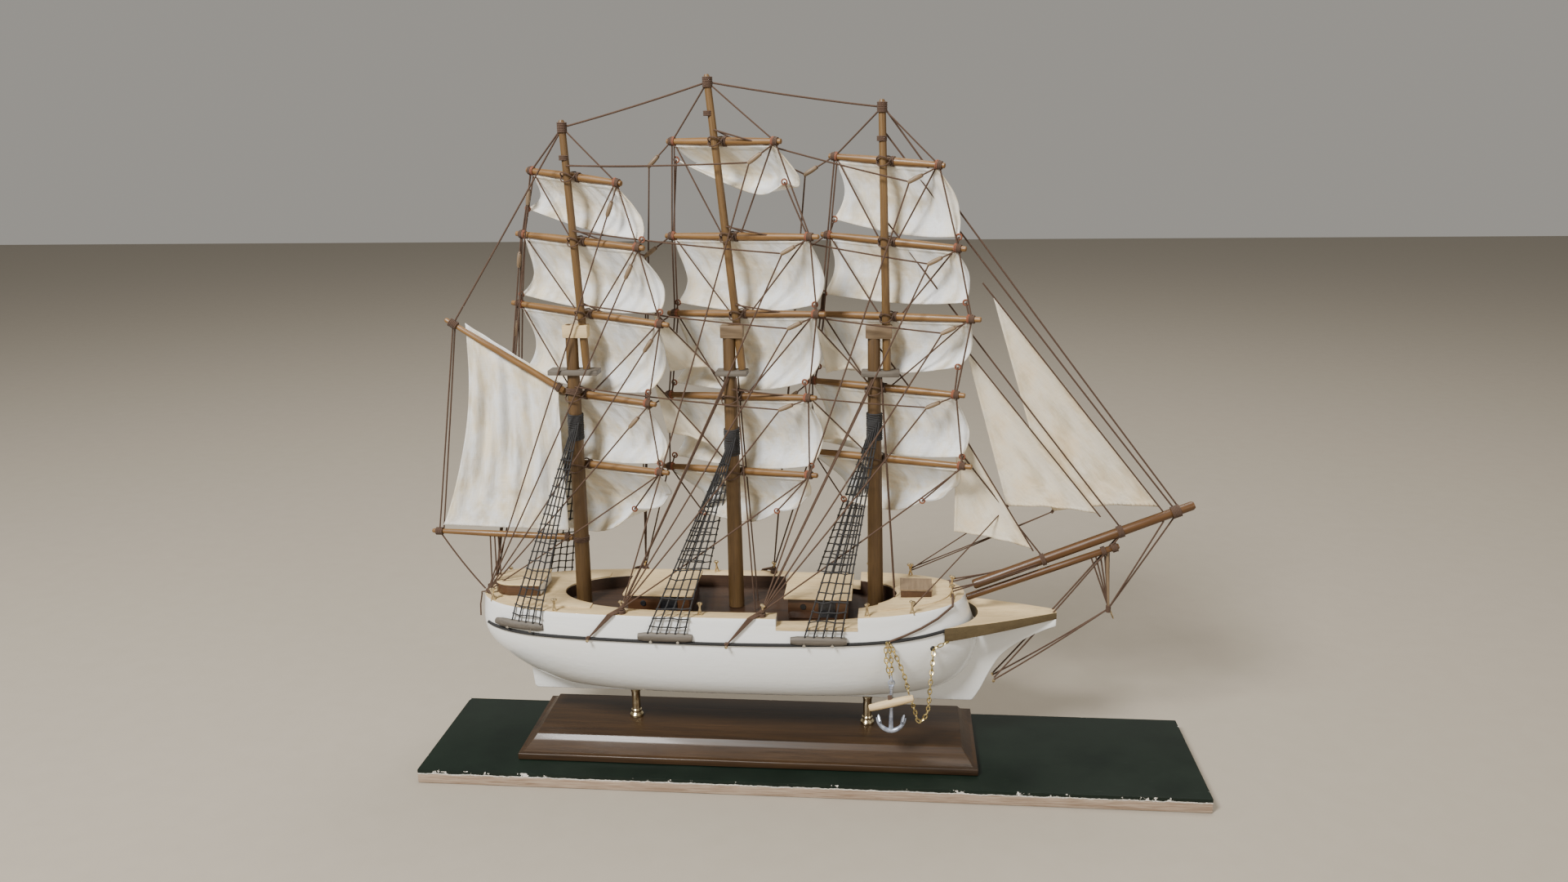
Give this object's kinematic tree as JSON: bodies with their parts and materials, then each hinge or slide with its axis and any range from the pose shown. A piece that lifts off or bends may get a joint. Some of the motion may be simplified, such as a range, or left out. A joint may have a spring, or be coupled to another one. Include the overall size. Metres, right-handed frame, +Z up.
{
  "type": "model sailing ship",
  "caption": "Full-rigged model sailing ship with cloth sails, thread rigging and a hanging anchor, on brass pedestals, a dark wood plinth and a flat display board.",
  "frame": {"origin": "on the display board's underside, below the ship's centre line and midway along the board", "axes": "+X towards the bow, +Y to port, +Z up; the model stands on the XY plane"},
  "size_m": [0.512, 0.101, 0.4482],
  "materials": {
    "green_board": "dark green painted board with a worn, chipped rim",
    "plinth_walnut": "dark stained and varnished",
    "brass": "bright, turned",
    "hull_white": "gloss white paint over wood",
    "head_rail_wood": "tan, satin",
    "deckhouse_wood": "dark stained",
    "mast_wood": "brown stained dowel",
    "yard_wood": "honey brown stained dowel",
    "bowsprit_wood": "reddish brown stained dowel",
    "sail_cotton": "thin unbleached cotton with rolled hems",
    "anchor_metal": "blue-grey cast metal",
    "pale_wood": "bare pale wood",
    "rigging_thread": "dark brown waxed thread",
    "ratline_thread": "black thread net",
    "chain_metal": "fine blackened gilt chain"
  },
  "bodies": {
    "root": {"display_board": "green_board", "plinth": "plinth_walnut", "pedestal_post_aft": "brass", "pedestal_post_fore": "brass", "hull": "hull_white", "keel_plank": "hull_white", "head_rail": "head_rail_wood", "aft_deckhouse": "deckhouse_wood", "fore_deckhouse": "deckhouse_wood", "poop_house": "deckhouse_wood", "forecastle_locker": "deckhouse_wood", "mizzen_lower_mast": "mast_wood", "mizzen_top": "mast_wood", "mizzen_topmast": "mast_wood", "main_lower_mast": "mast_wood", "main_top": "mast_wood", "main_topmast": "mast_wood", "fore_lower_mast": "mast_wood", "fore_top": "mast_wood", "fore_topmast": "mast_wood", "bowsprit": "bowsprit_wood", "jibboom": "bowsprit_wood", "flying_jib": "sail_cotton", "outer_jib": "sail_cotton", "inner_jib": "sail_cotton"},
    "mizzen_yards": {"mizzen_royal_yard": "yard_wood", "mizzen_topgallant_yard": "yard_wood", "mizzen_upper_topsail_yard": "yard_wood", "mizzen_lower_topsail_yard": "yard_wood", "mizzen_course_yard": "yard_wood", "mizzen_royal_sail": "sail_cotton", "mizzen_topgallant_sail": "sail_cotton", "mizzen_upper_topsail_sail": "sail_cotton", "mizzen_lower_topsail_sail": "sail_cotton", "mizzen_course": "sail_cotton"},
    "main_yards": {"main_royal_yard": "yard_wood", "main_topgallant_yard": "yard_wood", "main_upper_topsail_yard": "yard_wood", "main_lower_topsail_yard": "yard_wood", "main_course_yard": "yard_wood", "main_royal_sail": "sail_cotton", "main_topgallant_sail": "sail_cotton", "main_upper_topsail_sail": "sail_cotton", "main_lower_topsail_sail": "sail_cotton", "main_course": "sail_cotton"},
    "fore_yards": {"fore_royal_yard": "yard_wood", "fore_topgallant_yard": "yard_wood", "fore_upper_topsail_yard": "yard_wood", "fore_lower_topsail_yard": "yard_wood", "fore_course_yard": "yard_wood", "fore_royal_sail": "sail_cotton", "fore_topgallant_sail": "sail_cotton", "fore_upper_topsail_sail": "sail_cotton", "fore_lower_topsail_sail": "sail_cotton", "fore_course": "sail_cotton"},
    "spanker": {"spanker_gaff": "yard_wood", "spanker_boom": "yard_wood", "spanker_sail": "sail_cotton"},
    "anchor": {"anchor": "anchor_metal", "anchor_stock": "pale_wood"}
  },
  "joints": [
    {"name": "mizzen_yards_brace", "type": "hinge", "parent": "root", "child": "mizzen_yards", "pos_m": [-0.1475, 0, 0.3], "axis": [0, 0, 1], "range_deg": [-4, 2]},
    {"name": "main_yards_brace", "type": "hinge", "parent": "root", "child": "main_yards", "pos_m": [-0.0487, 0, 0.3], "axis": [0, 0, 1], "range_deg": [-4, 2]},
    {"name": "fore_yards_brace", "type": "hinge", "parent": "root", "child": "fore_yards", "pos_m": [0.0468, 0, 0.3], "axis": [0, 0, 1], "range_deg": [-4, 1.5]},
    {"name": "spanker_swing", "type": "hinge", "parent": "root", "child": "spanker", "pos_m": [-0.1515, 0, 0.2], "axis": [0, 0, 1], "range_deg": [-6, 6]},
    {"name": "anchor_swing", "type": "hinge", "parent": "root", "child": "anchor", "pos_m": [0.0558, -0.0435, 0.1005], "axis": [0, 1, 0], "range_deg": [-12, 12]}
  ]
}
